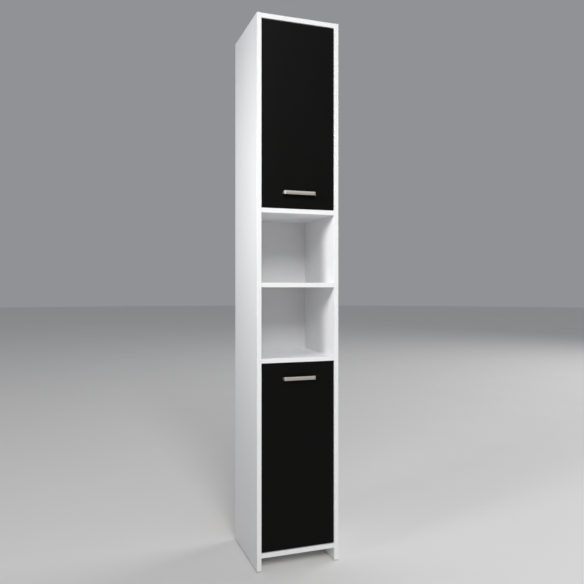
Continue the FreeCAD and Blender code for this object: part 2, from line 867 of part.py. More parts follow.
def mounting_plate(z):
    """A plate on the side panel with a raised rib that the arm's channel sits over."""
    base_x = inner_x - plate_thickness
    y_mid = at((0.0, plate_line))[1]
    y0 = at((0.0, plate_front))[1]
    y1 = at((0.0, channel_end))[1]
    base = block(base_x, inner_x, y0, y1, z - rib_half_width, z + rib_half_width)
    half = plate_screw_spacing / 2.0
    wing = block(base_x, inner_x, y_mid - wing_half, y_mid + wing_half, z - half, z + half)
    tips = [flat_sided((base_x, y_mid, z + s * half), (1, 0, 0), wing_half, plate_thickness, pin_sides)
            for s in (-1, 1)]
    rib_x = at((channel_near_side + sheet + layer_gap, 0.0))[0]
    rib = block(rib_x, base_x, y0, y1, z - rib_half_width, z + rib_half_width)
    plate = fused([base, wing, rib] + tips)
    cuts = []
    for _, y, screw_z in plate_screw_places(z):
        cuts.append(flat_sided((base_x, y, screw_z), (1, 0, 0), plate_screw_radius + slip,
                               plate_thickness))
    for v in adjusting_screw_lines:
        x, y = at((channel_near_side, v))
        cuts.append(flat_sided((x, y, z), (1, 0, 0), adjusting_screw_radius + slip,
                               adjusting_screw_length + slip))
    return plate.cut(cuts)


def cup_screws(z):
    """Two screws through the cup's ears into the door."""
    return [
        headed_screw((x, y + cup_flange, sz), (0, 1, 0), cup_screw_radius, cup_flange + cup_screw_bite,
                     cup_screw_head, small_head_height)
        for x, y, sz in cup_screw_places(z)
    ]


def plate_screws(z):
    """Two screws through the mounting plate into the side panel."""
    return [
        headed_screw((x - plate_thickness, y, sz), (-1, 0, 0), plate_screw_radius,
                     plate_thickness + plate_screw_bite, plate_screw_head, small_head_height)
        for x, y, sz in plate_screw_places(z)
    ]


def adjusting_screws(z):
    """The arm's fixing and side-adjusting screws, turned into the plate's rib."""
    solids = []
    for v in adjusting_screw_lines:
        x, y = at((channel_near_side, v))
        solids.append(headed_screw((x, y, z), (-1, 0, 0), adjusting_screw_radius,
                                   adjusting_screw_length, adjusting_screw_head,
                                   small_head_height))
    return solids


# ---------------------------------------------------------------- nodes

os.makedirs("parts", exist_ok=True)

save("side_panel_left", [side_panel(-1)])
save("side_panel_right", [side_panel(1)])
for panel_name in fixed_panels:
    save(panel_name, [fixed_panel(panel_name)])
save("back_panel", [back_panel()])
save("cam_locks", cam_locks())
save("cam_bolts", cam_bolts())
save("wood_dowels", wood_dowels())
save("back_panel_nails", back_panel_nails())
save("floor_glides", floor_glides())
save("door_stops", door_stops())
save("anti_tip_bracket", [anti_tip_bracket()])
save("bracket_screws", bracket_screws())


for door_name in compartments:
    save(door_name + "_adjustable_shelf", [loose_shelf(door_name)])
    save(door_name + "_shelf_supports", shelf_supports(door_name))
    save(door_name + "_door", [door(door_name)])
    save(door_name + "_handle", [handle(door_name)])
    save(door_name + "_handle_screws", handle_screws(door_name))
    save(door_name + "_hinge_cups", [hinge_cup(z) for z in hinge_levels(door_name)])
    save(door_name + "_cup_screws", for_both_hinges(door_name, cup_screws))
    save(door_name + "_cup_pins", for_both_hinges(door_name, cup_pins))
    save(door_name + "_outer_links", for_both_hinges(door_name, outer_links))
    save(door_name + "_outer_link_pins",
         [arm_pins(arm_pin_outer, outer_link_far, z) for z in hinge_levels(door_name)])
    save(door_name + "_inner_links", for_both_hinges(door_name, inner_links))
    save(door_name + "_inner_link_pins",
         [arm_pins(arm_pin_inner, inner_link_far, z) for z in hinge_levels(door_name)])
    save(door_name + "_hinge_arms", [hinge_arm(z) for z in hinge_levels(door_name)])
    save(door_name + "_mounting_plates", [mounting_plate(z) for z in hinge_levels(door_name)])
    save(door_name + "_plate_screws", for_both_hinges(door_name, plate_screws))
    save(door_name + "_adjusting_screws", for_both_hinges(door_name, adjusting_screws))
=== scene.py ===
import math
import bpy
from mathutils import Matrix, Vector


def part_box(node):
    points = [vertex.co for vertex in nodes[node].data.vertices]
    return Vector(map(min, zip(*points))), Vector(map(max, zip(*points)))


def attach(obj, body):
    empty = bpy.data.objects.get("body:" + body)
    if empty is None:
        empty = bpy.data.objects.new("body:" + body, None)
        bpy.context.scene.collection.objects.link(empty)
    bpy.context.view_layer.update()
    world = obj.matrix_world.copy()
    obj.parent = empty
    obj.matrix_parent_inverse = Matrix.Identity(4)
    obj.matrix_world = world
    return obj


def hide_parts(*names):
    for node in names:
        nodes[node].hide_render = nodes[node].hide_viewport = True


bl_info = {
    "name": "Tall Bathroom Cabinet",
    "version": (1, 0, 0),
    "blender": (4, 5, 0),
    "location": "3D View > Sidebar > Cabinet",
    "description": "Finishes and small fittings of a tall cabinet with two doors and two niches",
    "category": "Object",
}

import bmesh
import bpy
from bpy.props import FloatProperty, FloatVectorProperty, IntProperty, PointerProperty
from mathutils import Matrix, Vector

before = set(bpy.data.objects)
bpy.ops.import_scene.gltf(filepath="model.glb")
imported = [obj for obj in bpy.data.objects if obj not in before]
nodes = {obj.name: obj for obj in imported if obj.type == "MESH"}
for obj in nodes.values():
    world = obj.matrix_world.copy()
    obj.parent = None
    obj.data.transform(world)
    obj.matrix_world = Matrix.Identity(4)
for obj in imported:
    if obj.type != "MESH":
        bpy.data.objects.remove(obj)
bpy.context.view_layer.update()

MM = 0.001
TINY = 0.01 * MM
DOORS = ("upper", "lower")
FIXED_PANELS = ("top_panel", "upper_fixed_shelf", "niche_shelf", "lower_fixed_shelf",
                "bottom_panel")
LOOSE_SHELVES = ("upper_adjustable_shelf", "lower_adjustable_shelf")
SIDE_PANELS = ("side_panel_left", "side_panel_right")

# the colour sockets of a Mix node, whose names its other sockets share
SHARE, FIRST, SECOND, RESULT = 0, 6, 7, 2

# what a noise has unless it says otherwise, and where most of its values lie
NOISE = {"Detail": 2.0, "Roughness": 0.55}
NOISE_RANGE = {"From Min": 0.25, "From Max": 0.75}

# roughness: lowest and highest over a surface, or its middle with the spread about it
WHITE_SHINE = {"To Min": 0.30, "To Max": 0.40}
BLACK_SHINE = {"To Min": 0.40, "To Max": 0.50}
BACK_SHINE = {"To Min": 0.38, "To Max": 0.80}
BRUSHED_SHINE = {"To Min": 0.52, "To Max": 0.64}
HANDLED_SHINE = {"To Min": -0.03, "To Max": 0.03}
FLOOR_SHINE = {"To Min": 0.55, "To Max": 0.65}
SAWN_ROUGHNESS = 0.85
BEECH_ROUGHNESS = 0.62
NICKEL_ROUGHNESS = 0.24
ZINC_ROUGHNESS = 0.34
CAST_ROUGHNESS = 0.5
NATURAL_ROUGHNESS = 0.36
WAXY_ROUGHNESS = 0.52
METAL_SPREAD = (0.8, 1.25)
PLASTIC_SPREAD = (0.85, 1.15)

# how much of the usual reflection a board's face has
WHITE_REFLECTION = 0.5
BLACK_REFLECTION = 0.08

# the darker of two tones in a finish, as a share of the lighter one
SCRATCH_TONE = 0.8
SMUDGE_TONE = 0.82
FLOW_TONE = 0.9
FLOOR_TONE = 0.97

# how far a noise is drawn out along each axis: 1 is not at all
WIPE_STRETCH = (1.0, 1.0, 0.35)
FLECK_STRETCH = (0.08, 1.0, 1.0)

HALF = 0.5
NATURAL_MILKINESS = 0.35
PLASTIC_IOR = 1.49

# modelling: a face looks along an axis from this share of its normal on, edges shallower
# than one angle are shaded smooth, and edges steeper than the other are rounded
FACES = 0.9
SMOOTH_ANGLE = math.radians(35.0)
CORNER_ANGLE = math.radians(50.0)


# ---------------------------------------------------------------- colours and shader nodes

def linear(code):
    """A colour written as sRGB hex, turned to linear red, green and blue."""
    parts = [int(code[i:i + 2], 16) / 255.0 for i in (1, 3, 5)]
    return tuple(p / 12.92 if p <= 0.04045 else ((p + 0.055) / 1.055) ** 2.4 for p in parts)


def per_size(size):
    """The texture scale at which one cell or wave is this long, in metres."""
    return 1.0 / size


def add(tree, kind, inputs=None, **settings):
    """Add a shader node with its settings, and link or set its inputs.

    A node that is given as an input is linked by its first output.
    """
    made = tree.nodes.new("ShaderNode" + kind)
    for name, value in settings.items():
        setattr(made, name, value)
    for name, value in (inputs or {}).items():
        if isinstance(value, bpy.types.Node):
            value = value.outputs[0]
        if isinstance(value, bpy.types.NodeSocket):
            tree.links.new(value, made.inputs[name])
        else:
            made.inputs[name].default_value = value
    return made


def opaque(colour, tone=1.0):
    """A shader's colour from a setting, darkened to a tone, with alpha 1."""
    return tuple(c * tone for c in colour[:3]) + (1.0,)


def start_material(name):
    """A material with an empty tree, and the tree's texture coordinates."""
    material = bpy.data.materials.new(name)
    material.use_nodes = True
    tree = material.node_tree
    tree.nodes.clear()
    return material, tree, add(tree, "TexCoord")


def facing(tree, coordinates, axis, sign=0):
    """1 where the surface of the piece faces along an axis: both ways, or one way by its sign."""
    split = add(tree, "SeparateXYZ", {"Vector": coordinates.outputs["Normal"]})
    along = split.outputs["XYZ".index(axis)]
    if sign == 0:
        towards = add(tree, "Math", {0: along}, operation="ABSOLUTE")
    else:
        towards = add(tree, "Math", {0: along, 1: float(sign)}, operation="MULTIPLY")
    return add(tree, "Math", {0: towards, 1: HALF}, operation="GREATER_THAN")


# ---------------------------------------------------------------- finishes

def particle_board(tree, position, boards):
    """Pressed wood flakes, as a cut edge or a bore shows them: colour and height."""
    flakes = add(tree, "TexVoronoi", {"Vector": position, "Scale": per_size(boards.flake_size)})
    shade = add(tree, "SeparateColor", {"Color": flakes.outputs["Color"]})
    dust = add(tree, "TexNoise", {**NOISE, "Vector": position,
                                  "Scale": per_size(boards.flake_size / 3.0), "Detail": 3.0})
    dusty = add(tree, "Math", {0: dust, 1: HALF}, operation="MULTIPLY")
    light = opaque(boards.flake_light)
    colour = opaque(boards.flake_dark)
    for share in (shade, dusty):
        colour = add(tree, "Mix", {SHARE: share, FIRST: colour, SECOND: light},
                     data_type="RGBA").outputs[RESULT]
    height = add(tree, "Math", {0: flakes.outputs["Distance"], 1: dust}, operation="ADD")
    return colour, height


def faced_board(name, boards, thickness_axis, bands, face_colour, band_colour, shine, reflection):
    """Melamine-faced particle board.

    Melamine is a resin-soaked paper pressed against a plate with a fine pearl grain, so the
    eye gets a hard, even, satin skin. Its banded edges are a little smoother plastic, and the
    cut edges and bores show the flakes.
    """
    material, tree, coordinates = start_material(name)
    position = coordinates.outputs["Object"]
    face = facing(tree, coordinates, thickness_axis)
    band = 0.0
    for axis, sign in bands:
        towards = facing(tree, coordinates, axis, sign)
        band = add(tree, "Math", {0: band, 1: towards}, operation="MAXIMUM")
    seam = add(tree, "Math", {0: face, 1: band}, operation="MULTIPLY")
    skin = add(tree, "Math", {0: face, 1: band}, operation="MAXIMUM")
    raw = add(tree, "Math", {0: 1.0, 1: skin}, operation="SUBTRACT")
    flakes, flake_height = particle_board(tree, position, boards)

    # a hundredth or two darker in patches wider than a hand, as wiped board looks
    clouds = add(tree, "TexNoise", {**NOISE, "Vector": position,
                                    "Scale": per_size(boards.cloud_size)})
    clouding = add(tree, "MapRange", {"Value": clouds, **NOISE_RANGE})
    layers = (
        (clouding, opaque(face_colour, boards.cloud_tone)),
        (band, opaque(band_colour)),
        (seam, opaque(band_colour, boards.seam_tone)),
        (raw, flakes),
    )
    colour = opaque(face_colour)
    for share, layer in layers:
        colour = add(tree, "Mix", {SHARE: share, FIRST: colour, SECOND: layer},
                     data_type="RGBA").outputs[RESULT]

    wiped = add(tree, "Mapping", {"Vector": position, "Scale": WIPE_STRETCH})
    marks = add(tree, "TexNoise", {**NOISE, "Vector": wiped,
                                   "Scale": per_size(boards.wipe_size), "Detail": 4.0})
    polish = add(tree, "MapRange", {"Value": marks, **NOISE_RANGE, **shine})
    sawn = add(tree, "Math", {0: raw, 1: SAWN_ROUGHNESS}, operation="MULTIPLY")
    rough = add(tree, "Math", {0: polish, 1: sawn}, operation="MAXIMUM")

    # the bands are smoother than the pressed faces
    smoothed = add(tree, "Math", {0: band, 1: boards.band_smoothness}, operation="MULTIPLY")
    pearl = add(tree, "Math", {0: 1.0, 1: smoothed}, operation="SUBTRACT")
    pearl = add(tree, "Math", {0: pearl, 1: boards.pearl_share}, operation="MULTIPLY")
    grain = add(tree, "TexNoise", {**NOISE, "Vector": position,
                                   "Scale": per_size(boards.pearl_size), "Detail": 1.0})
    grain = add(tree, "Math", {0: grain, 1: pearl}, operation="MULTIPLY")
    sawn_height = add(tree, "Math", {0: flake_height, 1: raw}, operation="MULTIPLY")
    height = add(tree, "Math", {0: grain, 1: sawn_height}, operation="ADD")
    bump = add(tree, "Bump", {"Height": height, "Distance": boards.flake_relief})
    shader = add(tree, "BsdfPrincipled", {"Base Color": colour, "Roughness": rough,
                                          "Specular IOR Level": reflection, "Normal": bump})
    add(tree, "OutputMaterial", {"Surface": shader})
    return material


def lacquered_hardboard(boards):
    """Hardboard of 3 mm, white lacquer on the face that shows, a little greyer than the melamine:
    partly the lacquer's own tone, partly painted shade for the back of the niches.

    The lacquer is smooth and even. The rear is bare pressed fibre, brown, with the square
    print of the wire screen that it was pressed on.
    """
    material, tree, coordinates = start_material("Lacquered hardboard")
    position = coordinates.outputs["Object"]
    front = facing(tree, coordinates, "Y", -1)
    bare = add(tree, "Math", {0: 1.0, 1: front}, operation="SUBTRACT")
    split = add(tree, "SeparateXYZ", {"Vector": position})
    turn = per_size(boards.screen_pitch) * math.tau
    waves = []
    for axis in ("X", "Z"):
        angle = add(tree, "Math", {0: split.outputs[axis], 1: turn}, operation="MULTIPLY")
        waves.append(add(tree, "Math", {0: angle}, operation="SINE"))
    screen = add(tree, "Math", {0: waves[0], 1: waves[1]}, operation="MULTIPLY")
    fibres = add(tree, "TexNoise", {**NOISE, "Vector": position,
                                    "Scale": per_size(boards.fibre_size), "Detail": 4.0})
    spread = add(tree, "MapRange", {"Value": fibres, **NOISE_RANGE})
    brown = add(tree, "Mix", {
        SHARE: spread, FIRST: opaque(boards.fibre_dark), SECOND: opaque(boards.fibre_light)},
        data_type="RGBA").outputs[RESULT]
    # the lacquered face: a greyer white, partly its own off-white and partly painted shade at the
    # back of the niches
    colour = add(tree, "Mix", {SHARE: front, FIRST: brown, SECOND: opaque(boards.back_white_with_painted_shade)},
                 data_type="RGBA").outputs[RESULT]
    rough = add(tree, "MapRange", {"Value": bare, **BACK_SHINE})

    relief = add(tree, "Math", {0: screen, 1: fibres}, operation="ADD")
    relief = add(tree, "Math", {0: relief, 1: bare}, operation="MULTIPLY")
    grain = add(tree, "TexNoise", {**NOISE, "Vector": position,
                                   "Scale": per_size(boards.pearl_size), "Detail": 1.0})
    grain = add(tree, "Math", {0: grain, 1: boards.pearl_share}, operation="MULTIPLY")
    height = add(tree, "Math", {0: relief, 1: grain}, operation="ADD")
    bump = add(tree, "Bump", {"Height": height, "Distance": boards.screen_relief})
    shader = add(tree, "BsdfPrincipled", {"Base Color": colour, "Roughness": rough,
                                          "Normal": bump})
    add(tree, "OutputMaterial", {"Surface": shader})
    return material


def brushed_nickel(metals):
    """Zinc casting, nickel plated and brushed along its length.

    Long fine scratches draw the highlights out into soft bands across the bar, and the plating
    is a warm grey, darker than chrome.
    """
    material, tree, coordinates = start_material("Brushed nickel plating")
    position = coordinates.outputs["Object"]
    along = metals.brush_width / metals.brush_length
    drawn = add(tree, "Mapping", {"Vector": position, "Scale": (along, 1.0, 1.0)})
    strokes = add(tree, "TexNoise", {**NOISE, "Vector": drawn,
                                     "Scale": per_size(metals.brush_width)})
    clouds = add(tree, "TexNoise", {**NOISE, "Vector": position,
                                    "Scale": per_size(metals.smudge_size)})
    spread = add(tree, "MapRange", {"Value": strokes, **NOISE_RANGE})
    colour = add(tree, "Mix", {
        SHARE: spread, FIRST: opaque(metals.nickel), SECOND: opaque(metals.nickel, SCRATCH_TONE)},
        data_type="RGBA").outputs[RESULT]
    brushed = add(tree, "MapRange", {"Value": strokes, **NOISE_RANGE, **BRUSHED_SHINE})
    handled = add(tree, "MapRange", {"Value": clouds, **NOISE_RANGE, **HANDLED_SHINE})
    rough = add(tree, "Math", {0: brushed, 1: handled}, operation="ADD")
    bump = add(tree, "Bump", {"Height": strokes, "Distance": metals.brush_depth})
    shader = add(tree, "BsdfPrincipled", {"Base Color": colour, "Metallic": 1.0,
                                          "Roughness": rough, "Normal": bump})
    add(tree, "OutputMaterial", {"Surface": shader})
    return material


def plated_metal(name, metals, colour, roughness, grain, depth):
    """A plated or bare metal of small fittings: even grain, a few smudges from handling."""
    material, tree, coordinates = start_material(name)
    position = coordinates.outputs["Object"]
    smudges = add(tree, "TexNoise", {**NOISE, "Vector": position,
                                     "Scale": per_size(metals.smudge_size), "Detail": 3.0})
    speckle = add(tree, "TexNoise", {**NOISE, "Vector": position, "Scale": per_size(grain)})
    spread = add(tree, "MapRange", {"Value": smudges, **NOISE_RANGE})
    shade = add(tree, "Mix", {
        SHARE: spread, FIRST: opaque(colour), SECOND: opaque(colour, SMUDGE_TONE)},
        data_type="RGBA").outputs[RESULT]
    both = add(tree, "Math", {0: smudges, 1: speckle}, operation="ADD")
    mean = add(tree, "Math", {0: both, 1: HALF}, operation="MULTIPLY")
    low, high = (roughness * share for share in METAL_SPREAD)
    rough = add(tree, "MapRange", {"Value": mean, **NOISE_RANGE, "To Min": low, "To Max": high})
    bump = add(tree, "Bump", {"Height": speckle, "Distance": depth})
    shader = add(tree, "BsdfPrincipled", {"Base Color": shade, "Metallic": 1.0, "Roughness": rough,
                                          "Normal": bump})
    add(tree, "OutputMaterial", {"Surface": shader})
    return material


def nickel_plated_steel(metals):
    """Pressed steel strip, bright nickel plated: sharp reflections, slightly yellow."""
    return plated_metal("Nickel-plated pressed steel", metals, metals.hinge_steel,
                        NICKEL_ROUGHNESS, metals.strip_grain, metals.strip_depth)


def zinc_plated_steel(metals):
    """Cold-formed steel, zinc plated and passivated: cool grey and a little milky."""
    return plated_metal("Zinc-plated steel", metals, metals.zinc_plate,
                        ZINC_ROUGHNESS, metals.strip_grain, metals.strip_depth)


def cast_zinc(metals):
    """Die-cast zinc as it comes from the mould: dull grey with a fine pebbled skin."""
    return plated_metal("Die-cast zinc", metals, metals.zinc_casting,
                        CAST_ROUGHNESS, metals.cast_grain, metals.cast_depth)


def beech_wood(boards):
    """Turned beech: pinkish tan with short darker flecks along the grain."""
    material, tree, coordinates = start_material("Beech")
    position = coordinates.outputs["Object"]
    drawn = add(tree, "Mapping", {"Vector": position, "Scale": FLECK_STRETCH})
    grain = add(tree, "TexNoise", {**NOISE, "Vector": drawn,
                                   "Scale": per_size(boards.wood_grain), "Detail": 4.0})
    spread = add(tree, "MapRange", {"Value": grain, **NOISE_RANGE})
    colour = add(tree, "Mix", {SHARE: spread, FIRST: opaque(boards.wood_light),
                               SECOND: opaque(boards.wood_dark)}, data_type="RGBA").outputs[RESULT]
    bump = add(tree, "Bump", {"Height": grain, "Distance": boards.flake_relief})
    shader = add(tree, "BsdfPrincipled", {"Base Color": colour, "Roughness": BEECH_ROUGHNESS,
                                          "Normal": bump})
    add(tree, "OutputMaterial", {"Surface": shader})
    return material


def moulded_plastic(name, plastics, colour, roughness, milky):
    """Injection-moulded plastic: an even skin with the faint spark-erosion grain of its mould."""
    material, tree, coordinates = start_material(name)
    position = coordinates.outputs["Object"]
    flow = add(tree, "TexNoise", {**NOISE, "Vector": position,
                                  "Scale": per_size(plastics.flow_size)})
    grain = add(tree, "TexNoise", {**NOISE, "Vector": position,
                                   "Scale": per_size(plastics.mould_grain), "Detail": 1.0})
    spread = add(tree, "MapRange", {"Value": flow, **NOISE_RANGE})
    shade = add(tree, "Mix", {
        SHARE: spread, FIRST: opaque(colour), SECOND: opaque(colour, FLOW_TONE)},
        data_type="RGBA").outputs[RESULT]
    low, high = (roughness * share for share in PLASTIC_SPREAD)
    rough = add(tree, "MapRange", {"Value": flow, **NOISE_RANGE, "To Min": low, "To Max": high})
    bump = add(tree, "Bump", {"Height": grain, "Distance": plastics.mould_depth})
    shader = add(tree, "BsdfPrincipled", {
        "Base Color": shade, "Roughness": rough, "IOR": PLASTIC_IOR, "Subsurface Weight": milky,
        "Subsurface Scale": plastics.milk_depth, "Normal": bump})
    add(tree, "OutputMaterial", {"Surface": shader})
    return material


def pale_floor(stage):
    """A plain pale painted floor: matt, with a faint unevenness so that it isn't dead flat."""
    material, tree, coordinates = start_material("Pale painted floor")
    clouds = add(tree, "TexNoise", {**NOISE, "Vector": coordinates.outputs["Object"],
                                    "Scale": per_size(stage.floor_cloud), "Detail": 3.0})
    spread = add(tree, "MapRange", {"Value": clouds, **NOISE_RANGE})
    light = opaque(stage.floor_colour)
    dark = opaque(stage.floor_colour, FLOOR_TONE)
    colour = add(tree, "Mix", {SHARE: spread, FIRST: light, SECOND: dark},
                 data_type="RGBA").outputs[RESULT]
    rough = add(tree, "MapRange", {"Value": clouds, **NOISE_RANGE, **FLOOR_SHINE})
    shader = add(tree, "BsdfPrincipled", {"Base Color": colour, "Roughness": rough})
    add(tree, "OutputMaterial", {"Surface": shader})
    return material


def dress(names, material):
    """Give CAD nodes a material."""
    for name in names:
        piece = nodes[name]
        piece.data.materials.clear()
        piece.data.materials.append(material)


# ---------------------------------------------------------------- modelling helpers

def select(*pieces):
    """Select these objects and nothing else; the first is the active one."""
    bpy.ops.object.select_all(action="DESELECT")
    for piece in pieces:
        piece.select_set(True)
    bpy.context.view_layer.objects.active = pieces[0]


def apply_place():
    """Move the selected objects' places into their meshes."""
    bpy.ops.object.transform_apply(location=True, rotation=True, scale=True)


def start_box(name, low, high):
    """A box between two corners, as the start of a piece, open in edit mode."""
    bpy.ops.mesh.primitive_cube_add(size=1.0, location=(low + high) / 2.0)
    piece = bpy.context.object
    piece.name = name
    piece.scale = high - low
    apply_place()
    bpy.ops.object.mode_set(mode="EDIT")
    return piece


def start_drum(name, radius, bottom, top, sides):
    """A round drum about the Z axis, as the start of a piece, open in edit mode."""
    bpy.ops.mesh.primitive_cylinder_add(vertices=sides, radius=radius, depth=top - bottom,
                                        location=(0.0, 0.0, (top + bottom) / 2.0))
    piece = bpy.context.object
    piece.name = name
    apply_place()
    bpy.ops.object.mode_set(mode="EDIT")
    return piece


def choose(piece, kind, test):
    """In edit mode, select the vertices, edges or faces that pass a test, and nothing else."""
    bpy.ops.mesh.select_mode(type={"verts": "VERT", "edges": "EDGE", "faces": "FACE"}[kind])
    bpy.ops.mesh.select_all(action="DESELECT")
    mesh = bmesh.from_edit_mesh(piece.data)
    mesh.normal_update()
    found = [part for part in getattr(mesh, kind) if test(part)]
    if not found:
        raise RuntimeError(f"{piece.name}: no {kind} at the place that is shaped next")
    for part in found:
        part.select_set(True)
    mesh.select_flush_mode()
    bmesh.update_edit_mesh(piece.data)


def split_at(point, normal):
    """Cut the whole mesh along a plane, keeping both sides."""
    bpy.ops.mesh.select_all(action="SELECT")
    bpy.ops.mesh.bisect(plane_co=point, plane_no=normal)


def push(amount):
    """Extrude what is selected by this vector."""
    bpy.ops.mesh.extrude_region_move(TRANSFORM_OT_translate={"value": amount})


def smooth(piece):
    """Shade a piece smooth across its shallow edges."""
    select(piece)
    bpy.ops.object.shade_smooth_by_angle(angle=SMOOTH_ANGLE)


def close_edit(piece):
    """Leave edit mode with clean outward normals and smooth shading."""
    bpy.ops.mesh.select_all(action="SELECT")
    bpy.ops.mesh.remove_doubles(threshold=TINY / 10.0)
    bpy.ops.mesh.normals_make_consistent(inside=False)
    bpy.ops.object.mode_set(mode="OBJECT")
    smooth(piece)


def combine(piece, other, operation):
    """Join another mesh to a piece, or cut it away, and delete the other."""
    change = piece.modifiers.new("Combine", "BOOLEAN")
    change.operation = operation
    change.solver = "EXACT"
    change.object = other
    select(piece)
    bpy.ops.object.modifier_apply(modifier=change.name)
    bpy.data.objects.remove(other)


def repeat(master, name, places):
    """Copy a finished piece to every place, each with its own mesh, and join them as one group."""
    made = []
    for place in places:
        twin = master.copy()
        twin.data = master.data.copy()
        bpy.context.collection.objects.link(twin)
        twin.matrix_world = place
        made.append(twin)
    bpy.data.objects.remove(master)
    select(*made)
    apply_place()
    if len(made) > 1:
        bpy.ops.object.join()
    group = bpy.context.view_layer.objects.active
    group.name = name
    group.data.name = name
    return group


def hand_over(piece, body, material, node):
    """Finish a piece: give it its material and its body, and hide the node that it stands for."""
    piece.data.materials.clear()
    piece.data.materials.append(material)
    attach(piece, body)
    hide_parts(node)


def solids_of(node):
    """The lowest and highest corners of a node's separate solids."""
    mesh = nodes[node].data
    keys = [tuple(round(c / TINY) for c in v.co) for v in mesh.vertices]
    group = {key: key for key in keys}

    def root(key):
        while group[key] != key:
            group[key] = group[group[key]]
            key = group[key]
        return key

    for face in mesh.polygons:
        first, *others = (root(keys[i]) for i in face.vertices)
        for other in others:
            group[root(other)] = root(first)
    corners = {}
    for key, vertex in zip(keys, mesh.vertices):
        place = root(key)
        low, high = corners.get(place, (vertex.co.copy(), vertex.co.copy()))
        corners[place] = (Vector(map(min, low, vertex.co)), Vector(map(max, high, vertex.co)))
    return sorted(corners.values(), key=lambda c: tuple(c[0]))


def head_places(node, direction, head_height):
    """Where the heads of a node's screws or pins seat, and which way they point."""
    direction = Vector(direction)
    turn = Vector((0.0, 0.0, 1.0)).rotation_difference(direction).to_matrix().to_4x4()
    places = []
    for low, high in solids_of(node):
        centre = (low + high) / 2.0
        reach = abs((high - low).dot(direction)) / 2.0
        seat = centre + direction * (reach - head_height)
        places.append(Matrix.Translation(seat) @ turn)
    return places


# ---------------------------------------------------------------- what a user would change

def tint(name, description, code):
    """A colour that a user can change."""
    return FloatVectorProperty(name=name, description=description, subtype="COLOR", size=3,
                               min=0.0, max=1.0, default=linear(code))


def length(name, description, millimetres):
    """A length that a user can change."""
    return FloatProperty(name=name, description=description, subtype="DISTANCE", unit="LENGTH",
                         min=0.0, precision=5, default=millimetres * MM)


def fraction(name, description, default):
    """A share from 0 to 1 that a user can change."""
    return FloatProperty(name=name, description=description, subtype="FACTOR",
                         min=0.0, max=1.0, default=default)


def watts(name, description, default):
    """A light's power that a user can change."""
    return FloatProperty(name=name, description=description, subtype="POWER", unit="POWER",
                         min=0.0, default=default)


def steps(name, description, least, most, default):
    """A number of flats or rows that a user can change."""
    return IntProperty(name=name, description=description, min=least, max=most, default=default)


class BoardFinish(bpy.types.PropertyGroup):
    """Colours and grain sizes of the boards, the back and the dowels."""

    white: tint("White melamine", "Faces of the carcass and the loose shelves", "#F1F1F2")
    white_band: tint("White edge band", "Front edges of the carcass boards", "#EEEEEE")
    black: tint("Black melamine", "Faces of the doors", "#090908")
    black_band: tint("Black edge band", "Edges of the doors", "#0D0D0C")
    # greyer than the melamine white: partly the lacquer's own off-white, partly painted shade that
    # darkens the back of the niches
    back_white_with_painted_shade: tint("White lacquer", "Face of the back board", "#DFDFDF")
    flake_light: tint("Light flakes", "Palest wood in a cut board", "#D9BC8E")
    flake_dark: tint("Dark flakes", "Darkest wood in a cut board", "#8F6B43")
    fibre_light: tint("Light fibres", "Palest bare hardboard", "#A67B50")
    fibre_dark: tint("Dark fibres", "Darkest bare hardboard", "#7A5433")
    wood_light: tint("Light beech", "Palest wood of the dowels", "#D7AC80")
    wood_dark: tint("Dark beech", "Darkest wood of the dowels", "#B07C50")
    flake_size: length("Flake size", "Typical flake in the core of a board", 1.6)
    flake_relief: length("Flake relief", "Roughness of a sawn edge", 0.15)
    pearl_size: length("Pearl grain", "Grain of the melamine's pressing plate", 0.6)
    pearl_share: fraction("Pearl depth", "Its depth, as a share of a sawn edge's", 0.10)
    band_smoothness: fraction("Band smoothness", "Share of the pearl grain that bands lack", 0.8)
    cloud_size: length("Clouding", "Width of the faint changes of tone on a face", 260.0)
    cloud_tone: fraction("Cloud tone", "Tone of the duller patches", 0.985)
    seam_tone: fraction("Seam tone", "Tone of the glue line between face and band", 0.86)
    wipe_size: length("Wipe marks", "Width of the marks that wiping leaves", 60.0)
    screen_pitch: length("Screen print", "Pitch of the wire screen on the back's rear", 1.9)
    screen_relief: length("Screen relief", "Depth of the screen's print", 0.12)
    fibre_size: length("Fibre size", "Length of the fibre bundles in the hardboard", 3.0)
    wood_grain: length("Wood grain", "Width of the beech's flecks", 0.7)


class MetalFinish(bpy.types.PropertyGroup):
    """Colours and grain sizes of the handles, hinges and fasteners."""

    nickel: tint("Brushed nickel", "Plating of the handles", "#C9C1BA")
    hinge_steel: tint("Bright nickel", "Plating of the hinges", "#CFCBC2")
    zinc_plate: tint("Zinc plating", "Bolts, nails, screws and bracket", "#BFC3C6")
    zinc_casting: tint("Zinc casting", "Bare die-cast cams", "#A4A5A8")
    brush_length: length("Brush stroke length", "Length of a scratch on the handle", 30.0)
    brush_width: length("Brush stroke width", "Width of a scratch, wider than real", 0.35)
    brush_depth: length("Brush depth", "Depth of the scratches", 0.008)
    smudge_size: length("Smudges", "Size of the duller patches from handling", 9.0)
    strip_grain: length("Strip grain", "Grain of rolled and plated steel", 0.5)
    strip_depth: length("Strip relief", "Depth of that grain", 0.004)
    cast_grain: length("Casting grain", "Grain of the mould's skin", 0.4)
    cast_depth: length("Casting relief", "Depth of the casting's grain", 0.02)


class PlasticFinish(bpy.types.PropertyGroup):
    """Colours and grain sizes of the moulded pieces."""

    clear: tint("Natural plastic", "Shelf supports and door stops", "#E4E6E5")
    dark: tint("Dark plastic", "Floor glides", "#2A2A2C")
    flow_size: length("Flow marks", "Width of the marks of the melt's flow", 4.0)
    mould_grain: length("Mould grain", "Grain of the mould's skin", 0.35)
    mould_depth: length("Mould relief", "Depth of the mould's grain", 0.01)
    milk_depth: length("Milkiness", "How deep light goes into the natural plastic", 1.5)


